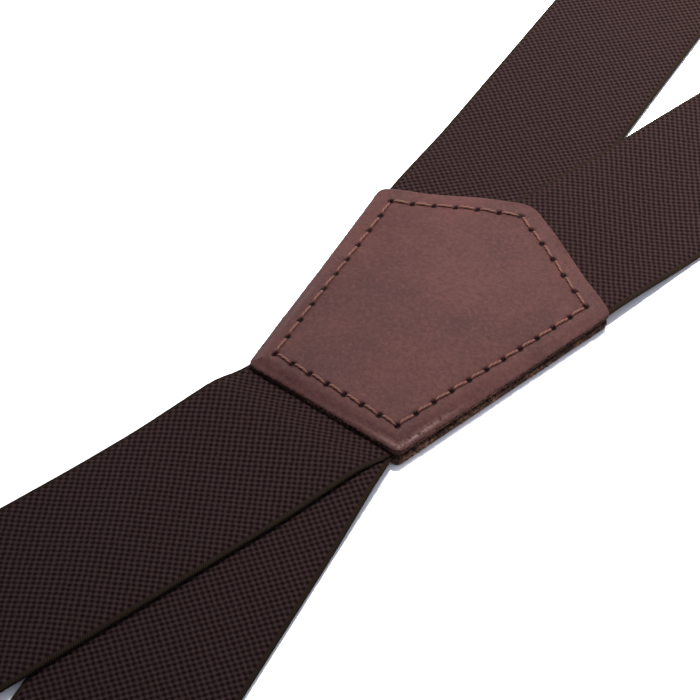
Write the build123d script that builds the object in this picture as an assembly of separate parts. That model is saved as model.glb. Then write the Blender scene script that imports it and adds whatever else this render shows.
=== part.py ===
"""Elastic X-back suspenders, laid out flat with the outside of the back uppermost.

Two elastic straps cross between two pieces of leather that are sewn together round their edge.
Each strap end goes round the bar of a flip-lever clip. The two back ends are doubled and sewn.
The two front ends come back up under the strap to a cam adjuster, whose bar they are sewn round.

Millimetres. The origin is on the surface that the suspenders lie on, under the middle of the
leather patch. +Y runs up the wearer's back through the patch's point, and +Z is up.
"""

import os
from math import cos, radians, sin

from build123d import *

# Elastic and leather
STRAP_WIDTH = 35.0
STRAP_THICKNESS = 1.5
LEATHER = 1.6
THREAD = 0.35

# Leather patch, a house shape with its roof towards the shoulders
PATCH_FOOT_WIDTH = 36.4
PATCH_SHOULDER_WIDTH = 58.2
PATCH_SHOULDER_HEIGHT = 58.5
PATCH_HEIGHT = 73.4
PATCH_CORNER = 2.0
PATCH_POINT = 7.0
STITCH_MARGIN = 4.1
STITCH_PITCH = 4.6
STITCH_LENGTH = 3.3
STITCH_WIDTH = 0.8
GROOVE_WIDTH = 1.5

# Where each strap bends under the patch, and how its two legs splay from the Y axis, in degrees
BEND_ABOVE_FOOT = 30.0
OVER_STRAP_X = 5.6
UNDER_STRAP_X = -6.5
OVER_BACK_SPLAY = 13.0
OVER_FRONT_SPLAY = 9.7
UNDER_BACK_SPLAY = 11.2
UNDER_FRONT_SPLAY = 7.4

# Lengths along each leg, from the bend under the patch
BACK_LEG = 262.0
FRONT_LEG = 700.0
BACK_HEM = 28.0
ADJUSTER_TO_CLIP = 150.0
LAP_CLEAR = 8.0
OVER_LAG = 9.0
STEP_RUN = 16.0

# Clip, in its own frame: Y from the bar towards the jaw, Z up from the surface
BAR_RADIUS = 1.2
LOOP_GAP = 0.3
SIDE_GAP = 0.6
ARM_WIDTH = 3.0
SHEET = 1.2
SLOT_END = 6.5
JOGGLE_END = 12.0
CLIP_LENGTH = 45.0
JAW_STEP_IN = 2.5
JAW_CORNER = 4.0
LOOP_CORNER = 1.0
PAD_START = 33.0
PAD_LENGTH = 10.0
PAD_INSET = 3.6
PAD_HEIGHT = 1.9
PAD_GROOVES = 4
PAD_GROOVE = 0.9
PAD_GROOVE_DEPTH = 0.7
PAD_CORNER = 1.5
JAW_GAP = 0.3
PIN_RADIUS = 1.0
PIN_RUN = 0.05
PIN_Y = 38.0
CURL_RADIUS = 2.2
EAR_THICKNESS = 1.2
EAR_RADIUS = 2.1
EAR_GAP = 0.3
LEVER_OVERHANG = 1.4
LEVER_SHEET = 1.0
LEVER_START = 7.5
LEVER_SHOULDER = 31.5
LEVER_FLANGE = 2.6
LEVER_CORNER = 5.5
LEVER_SHOULDER_CORNER = 1.5
LEVER_DIP = 0.8
LEVER_LIP = 2.2

# Adjuster, in its own frame: Y towards the clip, its origin under the middle of the bar
ADJUSTER_EDGE = 2.7
ADJUSTER_CORNER = 3.0
ADJUSTER_BACK = -21.0
ADJUSTER_BAR = 3.0
ADJUSTER_SLOT = 3.4
ADJUSTER_FRONT = 3.2
ADJUSTER_PIN_Y = -15.5
ADJUSTER_LEVER_END = 6.0
WALL_LENGTH = 14.0
WRAP_HEM = 20.0

# Values worked out from the ones above
BAR_Z = STRAP_THICKNESS + LOOP_GAP + BAR_RADIUS
ARM_INSIDE = STRAP_WIDTH / 2 + SIDE_GAP
ARM_OUTSIDE = ARM_INSIDE + ARM_WIDTH
JAW_WIDTH = 2 * (ARM_OUTSIDE - JAW_STEP_IN)
PAD_WIDTH = JAW_WIDTH - 2 * PAD_INSET
LEVER_WIDTH = JAW_WIDTH + 2 * LEVER_OVERHANG
ADJUSTER_WIDTH = 2 * (ARM_INSIDE + EAR_THICKNESS + ADJUSTER_EDGE)
PIN_Z = SHEET + PAD_HEIGHT + JAW_GAP + CURL_RADIUS
UNDER_Z = LEATHER
OVER_Z = LEATHER + STRAP_THICKNESS
PATCH_TOP_Z = LEATHER + 2 * STRAP_THICKNESS
BAR_PLATE_Z = STRAP_THICKNESS
WRAP_Z = BAR_PLATE_Z + SHEET
RIDE_Z = WRAP_Z + STRAP_THICKNESS
ADJUSTER_PIN_Z = WRAP_Z + STRAP_THICKNESS + JAW_GAP + CURL_RADIUS


def side_profile(points, width):
    """Carries a closed outline of (y, z) points across x, half the width each way."""
    outline = make_face(Plane.YZ * Polyline(*points, close=True))
    return extrude(outline, amount=width / 2, both=True)


def ribbon(points, width=STRAP_WIDTH):
    """A band of strap whose underside follows (y, z) points."""
    top = [(y, z + STRAP_THICKNESS) for y, z in reversed(points)]
    return side_profile(list(points) + top, width)


def rod(x_from, x_to, y, z, radius):
    """A round bar along x."""
    middle = Pos((x_from + x_to) / 2, y, z) * Rot(0, 90, 0)
    return middle * Cylinder(radius, x_to - x_from)


def block(x_from, x_to, y_from, y_to, z_from, z_to):
    """A box given by its faces."""
    size = Box(x_to - x_from, y_to - y_from, z_to - z_from)
    return Pos((x_from + x_to) / 2, (y_from + y_to) / 2, (z_from + z_to) / 2) * size


def both_sides(solid):
    """The solid and its mirror image across x = 0."""
    return solid + mirror(solid, about=Plane.YZ)


# Leather patch and its seam


def patch_corners(inset=0.0):
    """The patch's five corners, anticlockwise from the lower left, moved in by an inset."""
    foot = PATCH_FOOT_WIDTH / 2
    shoulder = PATCH_SHOULDER_WIDTH / 2
    flare = Vector(shoulder - foot, PATCH_SHOULDER_HEIGHT, 0).normalized()
    roof = Vector(-shoulder, PATCH_HEIGHT - PATCH_SHOULDER_HEIGHT, 0).normalized()
    foot_x = foot + inset * (flare.X - 1) / flare.Y
    # The shoulder moves along the line that halves its angle.
    side_in = Vector(-flare.Y, flare.X, 0)
    roof_in = Vector(-roof.Y, roof.X, 0)
    halving = (side_in + roof_in) * (inset / (1 + side_in.dot(roof_in)))
    shoulder_x = shoulder + halving.X
    shoulder_y = PATCH_SHOULDER_HEIGHT + halving.Y
    point_y = PATCH_HEIGHT + inset / roof_in.Y
    return [
        (-foot_x, inset),
        (foot_x, inset),
        (shoulder_x, shoulder_y),
        (0.0, point_y),
        (-shoulder_x, shoulder_y),
    ]


def patch_face(inset=0.0):
    """The patch's outline with its corners rounded, the point most of all."""
    face = make_face(Polyline(*patch_corners(inset), close=True))
    by_height = face.vertices().group_by(Axis.Y)
    face = fillet(by_height[-1], PATCH_POINT)
    rest = [v for v in face.vertices() if v.Y < PATCH_SHOULDER_HEIGHT + 1 - inset]
    return fillet(rest, PATCH_CORNER)


def patch_stitches(z):
    """One short flat stitch per pitch along each side of the seam."""
    corners = patch_corners(STITCH_MARGIN)
    stitches = []
    for start, end in zip(corners, corners[1:] + corners[:1]):
        run = Vector(end[0] - start[0], end[1] - start[1], 0)
        count = round(run.length / STITCH_PITCH)
        turn = Vector(1, 0, 0).get_signed_angle(run, Vector(0, 0, 1))
        stitch = extrude(SlotOverall(STITCH_LENGTH, STITCH_WIDTH), amount=THREAD)
        for index in range(count):
            middle = Vector(start[0], start[1], z) + run * ((index + 0.5) / count)
            stitches.append(Pos(*middle) * Rot(0, 0, turn) * stitch)
    return Compound(stitches)


def patch_nodes():
    """Two leathers of one outline, and the thread on the outside of each."""
    place = Pos(0, -BEND_ABOVE_FOOT, 0)
    leather = extrude(patch_face(), amount=LEATHER)
    groove = patch_face(STITCH_MARGIN - GROOVE_WIDTH / 2)
    groove -= patch_face(STITCH_MARGIN + GROOVE_WIDTH / 2)
    rear = leather - extrude(groove, amount=THREAD)
    return {
        "patch_front_leather": place * Pos(0, 0, PATCH_TOP_Z) * leather,
        "patch_rear_leather": place * rear,
        "patch_front_thread": place * patch_stitches(PATCH_TOP_Z + LEATHER),
        "patch_rear_thread": place * patch_stitches(0),
    }


# Straps. Each leg is drawn along +Y from the bend under the patch, then turned to its splay.


def lap_end(back):
    """How far along a leg of the upper strap the other strap still lies under it."""
    if back:
        splay, other = radians(OVER_BACK_SPLAY), radians(UNDER_BACK_SPLAY)
        apart = UNDER_STRAP_X - OVER_STRAP_X
    else:
        splay, other = radians(OVER_FRONT_SPLAY), radians(UNDER_FRONT_SPLAY)
        apart = OVER_STRAP_X - UNDER_STRAP_X
    cover = STRAP_WIDTH / 2 / cos(splay) + STRAP_WIDTH / 2 / cos(other)
    rise = (cover - apart) / (sin(splay) / cos(splay) + sin(other) / cos(other))
    return rise / cos(splay) + LAP_CLEAR


def leg_start(over, back):
    """The underside of a leg from the bend to where it reaches the surface."""
    reach = BEND_ABOVE_FOOT if back else PATCH_HEIGHT - BEND_ABOVE_FOOT
    splay = radians(max(OVER_BACK_SPLAY, OVER_FRONT_SPLAY, UNDER_BACK_SPLAY, UNDER_FRONT_SPLAY))
    edge = (reach + STRAP_WIDTH / 2 * sin(splay)) / cos(splay) + 0.5
    root = -1.5
    if not over:
        return [(root, UNDER_Z), (edge, UNDER_Z), (edge + STEP_RUN, 0)]
    edge = edge + OVER_LAG
    lap = lap_end(back)
    return [
        (root, OVER_Z),
        (edge, OVER_Z),
        (edge + STEP_RUN, STRAP_THICKNESS),
        (lap, STRAP_THICKNESS),
        (lap + 1.5 * STEP_RUN, 0),
    ]


def end_loop(bar_y):
    """The half turn of strap round a clip's bar."""
    outer = Cylinder(BAR_Z, STRAP_WIDTH)
    inner = Cylinder(BAR_Z - STRAP_THICKNESS, STRAP_WIDTH)
    ring = Pos(0, bar_y, BAR_Z) * Rot(0, 90, 0) * (outer - inner)
    return ring & block(-STRAP_WIDTH, STRAP_WIDTH, bar_y, bar_y + 2 * BAR_Z, 0, 3 * BAR_Z)


def back_leg(over):
    """Strap to the back clip, round its bar and doubled under for the sewn hem."""
    loop_top = 2 * BAR_Z - STRAP_THICKNESS
    hem_start = BACK_LEG - BACK_HEM
    run = leg_start(over, True)
    run += [
        (hem_start - 10, 0),
        (hem_start - 1, STRAP_THICKNESS),
        (BACK_LEG - 13, STRAP_THICKNESS),
        (BACK_LEG - 3, loop_top),
        (BACK_LEG, loop_top),
    ]
    hem = ribbon([(hem_start, 0), (BACK_LEG, 0)])
    return ribbon(run) + end_loop(BACK_LEG) + hem


def front_leg(over):
    """Strap over the adjuster, round the front clip's bar and back up to the adjuster's bar."""
    loop_top = 2 * BAR_Z - STRAP_THICKNESS
    bar_y = FRONT_LEG - ADJUSTER_TO_CLIP
    plate_y = bar_y + ADJUSTER_BACK
    slot_y = bar_y - ADJUSTER_BAR / 2
    hem_y = bar_y + WRAP_HEM
    run = leg_start(over, False)
    run += [
        (plate_y - 22, 0),
        (plate_y - 1, WRAP_Z),
        (slot_y - 8, WRAP_Z),
        (slot_y - 2, RIDE_Z),
        (bar_y + ADJUSTER_FRONT + 2, RIDE_Z),
        (bar_y + 13, 2 * STRAP_THICKNESS + THREAD),
        (hem_y + 2, 2 * STRAP_THICKNESS + THREAD),
        (hem_y + 12, STRAP_THICKNESS),
        (FRONT_LEG - 13, STRAP_THICKNESS),
        (FRONT_LEG - 3, loop_top),
        (FRONT_LEG, loop_top),
    ]
    under = ribbon([(slot_y - STRAP_THICKNESS, 0), (FRONT_LEG, 0)])
    turn_z = WRAP_Z + STRAP_THICKNESS
    turn = side_profile(
        [
            (slot_y - STRAP_THICKNESS, 0),
            (slot_y, 0),
            (slot_y, turn_z),
            (slot_y - STRAP_THICKNESS, turn_z),
        ],
        STRAP_WIDTH,
    )
    bar_end = bar_y + ADJUSTER_FRONT + 0.3
    wrap = ribbon(
        [
            (slot_y - STRAP_THICKNESS, WRAP_Z),
            (bar_end, WRAP_Z),
            (bar_end + 7, STRAP_THICKNESS),
            (hem_y, STRAP_THICKNESS),
        ]
    )
    return ribbon(run) + end_loop(FRONT_LEG) + under + turn + wrap


def hem_stitches(middle_y, z, spacing):
    """Two rows of short stitches across the strap."""
    stitch = extrude(SlotOverall(STITCH_LENGTH, STITCH_WIDTH), amount=THREAD)
    count = int((STRAP_WIDTH - 4) / (STITCH_LENGTH + 0.6))
    pitch = (STRAP_WIDTH - 4) / count
    rows = []
    for y in (middle_y - spacing / 2, middle_y + spacing / 2):
        for index in range(count):
            rows.append(Pos((index - (count - 1) / 2) * pitch, y, z) * stitch)
    return rows


# Clips


def clip_base():
    """Stamped back plate: a slotted loop for the strap, a step down, two ears and a flat jaw."""
    arms_z = BAR_Z - SHEET / 2
    plan = [
        (-ARM_OUTSIDE, -BAR_RADIUS),
        (ARM_OUTSIDE, -BAR_RADIUS),
        (ARM_OUTSIDE, JOGGLE_END - 2),
        (JAW_WIDTH / 2, JOGGLE_END + 6),
        (JAW_WIDTH / 2, CLIP_LENGTH),
        (-JAW_WIDTH / 2, CLIP_LENGTH),
        (-JAW_WIDTH / 2, JOGGLE_END + 6),
        (-ARM_OUTSIDE, JOGGLE_END - 2),
    ]
    outline = make_face(Polyline(*plan, close=True))
    outline = fillet(outline.vertices().group_by(Axis.Y)[-1], JAW_CORNER)
    outline = fillet(outline.vertices().group_by(Axis.Y)[0], LOOP_CORNER)
    profile = [
        (-BAR_RADIUS, arms_z),
        (SLOT_END + 1, arms_z),
        (JOGGLE_END, 0),
        (CLIP_LENGTH, 0),
        (CLIP_LENGTH, SHEET),
        (JOGGLE_END + 0.6, SHEET),
        (SLOT_END + 1.6, arms_z + SHEET),
        (-BAR_RADIUS, arms_z + SHEET),
    ]
    plate = side_profile(profile, 2 * ARM_OUTSIDE) & extrude(outline, amount=2 * BAR_Z)
    slot = block(-ARM_INSIDE, ARM_INSIDE, -2 * BAR_RADIUS, SLOT_END, 0, 2 * BAR_Z)
    bar = rod(-ARM_INSIDE - 1, ARM_INSIDE + 1, 0, BAR_Z, BAR_RADIUS)
    ear_x = JAW_WIDTH / 2 - EAR_THICKNESS
    ear = block(ear_x, JAW_WIDTH / 2, PIN_Y - EAR_RADIUS, PIN_Y + EAR_RADIUS, 0, PIN_Z)
    ear += rod(ear_x, JAW_WIDTH / 2, PIN_Y, PIN_Z, EAR_RADIUS)
    hole = rod(-JAW_WIDTH, JAW_WIDTH, PIN_Y, PIN_Z, PIN_RADIUS)
    return plate - slot + bar + both_sides(ear) - hole


def clip_pad():
    """Moulded jaw pad with cross grooves that hold the waistband."""
    top = SHEET + PAD_HEIGHT
    pad = block(-PAD_WIDTH / 2, PAD_WIDTH / 2, PAD_START, PAD_START + PAD_LENGTH, SHEET, top)
    pad = fillet(pad.edges().filter_by(Axis.Z), PAD_CORNER)
    pitch = PAD_LENGTH / (PAD_GROOVES + 1)
    for index in range(PAD_GROOVES):
        start = PAD_START + pitch * (index + 1) - PAD_GROOVE / 2
        floor = top - PAD_GROOVE_DEPTH
        pad -= block(-PAD_WIDTH, PAD_WIDTH, start, start + PAD_GROOVE, floor, top + 1)
    return pad


def curl(pin_y, pin_z, width, sign):
    """The lever's end rolled round the pin, from its top face down to the strap or cloth."""
    roll = rod(-width / 2, width / 2, pin_y, pin_z, CURL_RADIUS)
    bore = rod(-width, width, pin_y, pin_z, PIN_RADIUS + PIN_RUN)
    back = pin_y - sign * 2 * CURL_RADIUS
    low, high = min(back, pin_y), max(back, pin_y)
    opening = block(-width, width, low, high, pin_z - 3 * CURL_RADIUS, pin_z - PIN_RADIUS)
    return roll - bore - opening


def clip_lever():
    """Flip lever: a cover plate with a turned-up lip, side flanges and a rolled hinge end."""
    top = PIN_Z + CURL_RADIUS
    dip = top - LEVER_DIP
    profile = [
        (PIN_Y, top),
        (PIN_Y - 8, top),
        (LEVER_START + 6, dip),
        (LEVER_START, dip + LEVER_LIP),
        (LEVER_START + 0.5, dip + LEVER_LIP - LEVER_SHEET - 0.2),
        (LEVER_START + 6.2, dip - LEVER_SHEET),
        (PIN_Y - 8, top - LEVER_SHEET),
        (PIN_Y, top - LEVER_SHEET),
    ]
    neck = JAW_WIDTH / 2 - EAR_THICKNESS - EAR_GAP
    plan = [
        (-neck, PIN_Y),
        (-neck, LEVER_SHOULDER),
        (-LEVER_WIDTH / 2, LEVER_SHOULDER),
        (-LEVER_WIDTH / 2, LEVER_START),
        (LEVER_WIDTH / 2, LEVER_START),
        (LEVER_WIDTH / 2, LEVER_SHOULDER),
        (neck, LEVER_SHOULDER),
        (neck, PIN_Y),
    ]
    outline = make_face(Polyline(*plan, close=True))
    outline = fillet(outline.vertices().group_by(Axis.Y)[0], LEVER_CORNER)
    shoulders = [v for v in outline.vertices() if abs(v.X) > neck + 1 and v.Y > LEVER_SHOULDER - 1]
    outline = fillet(shoulders, LEVER_SHOULDER_CORNER)
    cover = side_profile(profile, LEVER_WIDTH) & extrude(outline, amount=3 * PIN_Z)
    flange = block(
        LEVER_WIDTH / 2 - LEVER_SHEET,
        LEVER_WIDTH / 2,
        LEVER_START + 7,
        LEVER_SHOULDER - 2,
        dip - LEVER_FLANGE,
        dip - LEVER_SHEET / 2,
    )
    return cover + both_sides(flange) + curl(PIN_Y, PIN_Z, 2 * neck, 1)


def clip_pin():
    """Hinge pin, pressed through both ears."""
    return rod(-JAW_WIDTH / 2, JAW_WIDTH / 2, PIN_Y, PIN_Z, PIN_RADIUS)


# Adjusters


def adjuster_walls_x():
    """The inside and outside faces of the frame's right wall."""
    inside = STRAP_WIDTH / 2 + SIDE_GAP
    return inside, inside + EAR_THICKNESS


def adjuster_frame():
    """Stamped frame: a floor under the strap, a slot and bar for the sewn end, two side walls."""
    back_y = ADJUSTER_BACK
    plan = Rectangle(ADJUSTER_WIDTH, ADJUSTER_FRONT - back_y)
    plan = fillet(plan.vertices(), ADJUSTER_CORNER)
    plate = Pos(0, (back_y + ADJUSTER_FRONT) / 2, BAR_PLATE_Z) * extrude(plan, amount=SHEET)
    slot_end = -ADJUSTER_BAR / 2
    plate -= block(-ARM_INSIDE, ARM_INSIDE, slot_end - ADJUSTER_SLOT, slot_end, 0, 10)
    inside, outside = adjuster_walls_x()
    wall_y = ADJUSTER_PIN_Y - EAR_RADIUS
    wall = block(inside, outside, wall_y, wall_y + WALL_LENGTH, BAR_PLATE_Z, RIDE_Z)
    wall += block(inside, outside, wall_y, ADJUSTER_PIN_Y + EAR_RADIUS, BAR_PLATE_Z, ADJUSTER_PIN_Z)
    wall += rod(inside, outside, ADJUSTER_PIN_Y, ADJUSTER_PIN_Z, EAR_RADIUS)
    hole = rod(-ADJUSTER_WIDTH, ADJUSTER_WIDTH, ADJUSTER_PIN_Y, ADJUSTER_PIN_Z, PIN_RADIUS)
    return plate + both_sides(wall) - hole


def adjuster_pin():
    """Hinge pin, pressed through both walls."""
    outside = adjuster_walls_x()[1]
    return rod(-outside, outside, ADJUSTER_PIN_Y, ADJUSTER_PIN_Z, PIN_RADIUS)


def adjuster_lever():
    """Cam lever: a cover plate over the strap, rolled round the pin so that it bears on the strap."""
    top = ADJUSTER_PIN_Z + CURL_RADIUS
    end_y = ADJUSTER_LEVER_END
    shoulder_y = ADJUSTER_PIN_Y + EAR_RADIUS + 2
    profile = [
        (ADJUSTER_PIN_Y, top),
        (end_y - 5, top),
        (end_y, top + 1.2),
        (end_y, top + 1.2 - LEVER_SHEET),
        (end_y - 5, top - LEVER_SHEET),
        (ADJUSTER_PIN_Y, top - LEVER_SHEET),
    ]
    neck = adjuster_walls_x()[0] - EAR_GAP
    half = ADJUSTER_WIDTH / 2
    plan = [
        (-neck, ADJUSTER_PIN_Y),
        (neck, ADJUSTER_PIN_Y),
        (neck, shoulder_y),
        (half, shoulder_y),
        (half, end_y),
        (-half, end_y),
        (-half, shoulder_y),
        (-neck, shoulder_y),
    ]
    outline = make_face(Polyline(*plan, close=True))
    outline = fillet(outline.vertices().group_by(Axis.Y)[-1], LEVER_CORNER)
    shoulders = [v for v in outline.vertices() if abs(v.X) > neck + 1 and v.Y < shoulder_y + 1]
    outline = fillet(shoulders, LEVER_SHOULDER_CORNER)
    cover = side_profile(profile, ADJUSTER_WIDTH) & extrude(outline, amount=3 * ADJUSTER_PIN_Z)
    return cover + curl(ADJUSTER_PIN_Y, ADJUSTER_PIN_Z, 2 * neck, -1)


# Assembly: each leg has its own frame, turned about the bend and with +Y along the leg

LEGS = {
    "back_left": {"over": True, "heading": 180 - OVER_BACK_SPLAY},
    "back_right": {"over": False, "heading": UNDER_BACK_SPLAY - 180},
    "front_right": {"over": True, "heading": -OVER_FRONT_SPLAY},
    "front_left": {"over": False, "heading": UNDER_FRONT_SPLAY},
}


def leg_place(leg):
    """The bend's place, turned so that +Y runs along the leg."""
    bend_x = OVER_STRAP_X if LEGS[leg]["over"] else UNDER_STRAP_X
    return Pos(bend_x, 0, 0) * Rot(0, 0, LEGS[leg]["heading"])


def strap(over, back, front):
    """One strap: its back leg and its front leg, joined at the bend."""
    return leg_place(back) * back_leg(over) + leg_place(front) * front_leg(over)


nodes = patch_nodes()
nodes["strap_over"] = strap(True, "back_left", "front_right")
nodes["strap_under"] = strap(False, "back_right", "front_left")

back_thread = []
front_thread = []
for leg in LEGS:
    is_back = leg.startswith("back")
    length = BACK_LEG if is_back else FRONT_LEG
    clip_place = leg_place(leg) * Pos(0, length, 0)
    nodes[leg + "_clip_base"] = clip_place * clip_base()
    nodes[leg + "_clip_pad"] = clip_place * clip_pad()
    nodes[leg + "_clip_lever"] = clip_place * clip_lever()
    nodes[leg + "_clip_pin"] = clip_place * clip_pin()
    if is_back:
        hem_middle = (BACK_LEG - BACK_HEM + BACK_LEG - 13) / 2
        rows = hem_stitches(hem_middle, 2 * STRAP_THICKNESS, 8.0)
        back_thread += [leg_place(leg) * row for row in rows]
    else:
        bar_place = leg_place(leg) * Pos(0, FRONT_LEG - ADJUSTER_TO_CLIP, 0)
        side = leg.replace("front_", "")
        nodes[side + "_adjuster_frame"] = bar_place * adjuster_frame()
        nodes[side + "_adjuster_pin"] = bar_place * adjuster_pin()
        nodes[side + "_adjuster_lever"] = bar_place * adjuster_lever()
        rows = hem_stitches(WRAP_HEM - 4.5, 2 * STRAP_THICKNESS, 5.0)
        front_thread += [bar_place * row for row in rows]

nodes["back_hem_thread"] = Compound(back_thread)
nodes["adjuster_hem_thread"] = Compound(front_thread)

os.makedirs("parts", exist_ok=True)
for name, shape in nodes.items():
    export_step(shape, f"parts/{name}.step")
    print(name, round(shape.volume, 1))
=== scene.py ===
# %% [markdown]
# # Elastic suspenders with a leather cross patch
# The suspenders lie flat on a pale surface, with the outside of the back uppermost. Two elastic
# straps cross inside a sandwich of two leathers. The metal clips and adjusters are exact parts that
# come with the frame, and this lesson makes the soft pieces and every finish around them.
# Lengths are in millimetres while a shape is worked out, and become metres when its mesh is made.

# %% Load the frame
import math

import bpy
import numpy as np
from mathutils import Matrix, Vector


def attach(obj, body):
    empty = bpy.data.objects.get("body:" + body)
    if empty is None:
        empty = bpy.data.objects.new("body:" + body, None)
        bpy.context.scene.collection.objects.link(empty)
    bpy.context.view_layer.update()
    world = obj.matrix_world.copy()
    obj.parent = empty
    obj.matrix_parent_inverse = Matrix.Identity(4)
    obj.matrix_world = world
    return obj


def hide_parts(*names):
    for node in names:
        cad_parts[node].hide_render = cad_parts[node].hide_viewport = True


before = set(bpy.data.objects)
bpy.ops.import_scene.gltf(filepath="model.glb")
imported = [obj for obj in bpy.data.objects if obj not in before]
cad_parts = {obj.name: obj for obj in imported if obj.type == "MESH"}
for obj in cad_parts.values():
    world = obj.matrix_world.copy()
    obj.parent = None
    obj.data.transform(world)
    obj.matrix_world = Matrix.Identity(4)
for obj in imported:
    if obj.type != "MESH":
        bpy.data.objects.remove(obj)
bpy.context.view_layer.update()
MM = 0.001

# %% [markdown]
# ## Camera
# A long lens looks down at about 46 degrees over the patch, so that the straps run corner to corner.
# The lens and place are given once, and the camera's axes are built from where it looks and which
# way is up, which is easier to change than three angles.

# %% Camera
CAMERA_AT = Vector((161.2, -268.0, 314.8)) * MM
LOOKS_ALONG = Vector((-0.3830, 0.5844, -0.7154))
CAMERA_UP = Vector((-0.4621, 0.5493, 0.6962))
SENSOR_MM = 36.0
LENS_MM = 113.1

camera_data = bpy.data.cameras.new("camera")
camera_data.sensor_width = SENSOR_MM
camera_data.lens = LENS_MM
camera_data.clip_start = 0.01
camera = bpy.data.objects.new("camera", camera_data)
bpy.context.scene.collection.objects.link(camera)
back = -LOOKS_ALONG.normalized()
right = CAMERA_UP.cross(back).normalized()
up = back.cross(right)
camera.matrix_world = Matrix.Translation(CAMERA_AT) @ Matrix((right, up, back)).transposed().to_4x4()
bpy.context.scene.camera = camera
print("lens", round(camera_data.lens, 1), "mm")

# %% [markdown]
# ## Floor and light
# A white floor fills the view. A soft key light on the left throws short shadows to the right. A
# spot is aimed between the front legs and fades from the middle of its cone to the rim, so the
# light falls away towards the back legs. The world adds a faintly blue glow, which tints the shadows.

# %% Floor and light
FLOOR_DROP = 0.2
FLOOR_HALF_METRES = 6.0
LAMP_TINT = (1.0, 0.985, 0.955)
SKY_TINT = (0.82, 0.855, 1.0, 1.0)
SKY_STRENGTH = 0.8


def add_light(name, kind, at, looks_at, power):
    """A lamp at a point in metres, turned to face another point. Returns the lamp's settings."""
    data = bpy.data.lights.new(name, kind)
    data.energy = power
    data.color = LAMP_TINT
    light = bpy.data.objects.new(name, data)
    bpy.context.scene.collection.objects.link(light)
    light.location = at
    light.rotation_euler = (Vector(looks_at) - Vector(at)).to_track_quat("-Z", "Y").to_euler()
    return data


def flat_floor(size, z):
    """A square of floor round the middle of the object."""
    mesh = bpy.data.meshes.new("floor")
    corners = [(-size, -size, z), (size, -size, z), (size, size, z), (-size, size, z)]
    mesh.from_pydata(corners, [], [(0, 1, 2, 3)])
    floor = bpy.data.objects.new("floor", mesh)
    bpy.context.scene.collection.objects.link(floor)
    return floor


floor = flat_floor(FLOOR_HALF_METRES, -FLOOR_DROP * MM)
key = add_light("key_light", "AREA", at=(-0.6, 0.25, 1.2), looks_at=(0, 0, 0), power=5.0)
key.shape = "SQUARE"
key.size = 0.8
spot = add_light("far_light", "SPOT", at=(-0.2, 0.45, 1.25), looks_at=(0.02, 0.25, 0), power=400.0)
spot.spot_size = math.radians(30)
spot.spot_blend = 1.0
spot.shadow_soft_size = 0.2
world = bpy.data.worlds.new("studio")
world.use_nodes = True
background = world.node_tree.nodes["Background"]
background.inputs["Color"].default_value = SKY_TINT
background.inputs["Strength"].default_value = SKY_STRENGTH
bpy.context.scene.world = world
bpy.context.scene.view_settings.view_transform = "Standard"

# %% [markdown]
# ## Sums for shaders
# A material in Blender is a tree of nodes. Writing `1 - mask * 0.5` is easier to read than three
# nodes and their links, so a small class wraps a socket and makes the Math nodes for us. A second
# class holds one material and has one method that adds any other kind of node.

# %% Shader helpers


def feed(socket, value):
    """Gives a socket a link if the value is a Wire, and otherwise a constant."""
    if isinstance(value, Wire):
        value.tree.links.new(value.socket, socket)
    else:
        socket.default_value = value


class Wire:
    """An output socket on which sums can be written."""

    def __init__(self, socket):
        self.socket = socket
        self.tree = socket.id_data

    def maths(self, operation, *values):
        """Adds a Math node and feeds it the values in order."""
        node = self.tree.nodes.new("ShaderNodeMath")
        node.operation = operation
        for socket, value in zip(node.inputs, values):
            feed(socket, value)
        return Wire(node.outputs[0])

    def __add__(self, other):
        return self.maths("ADD", self, other)

    def __mul__(self, other):
        return self.maths("MULTIPLY", self, other)

    def __sub__(self, other):
        return self.maths("SUBTRACT", self, other)

    def __rsub__(self, other):
        return self.maths("SUBTRACT", other, self)

    def cos(self):
        return self.maths("COSINE", self)

    def abs(self):
        return self.maths("ABSOLUTE", self)

    def most(self, other):
        """Whichever of two values is the larger."""
        return self.maths("MAXIMUM", self, other)


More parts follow.
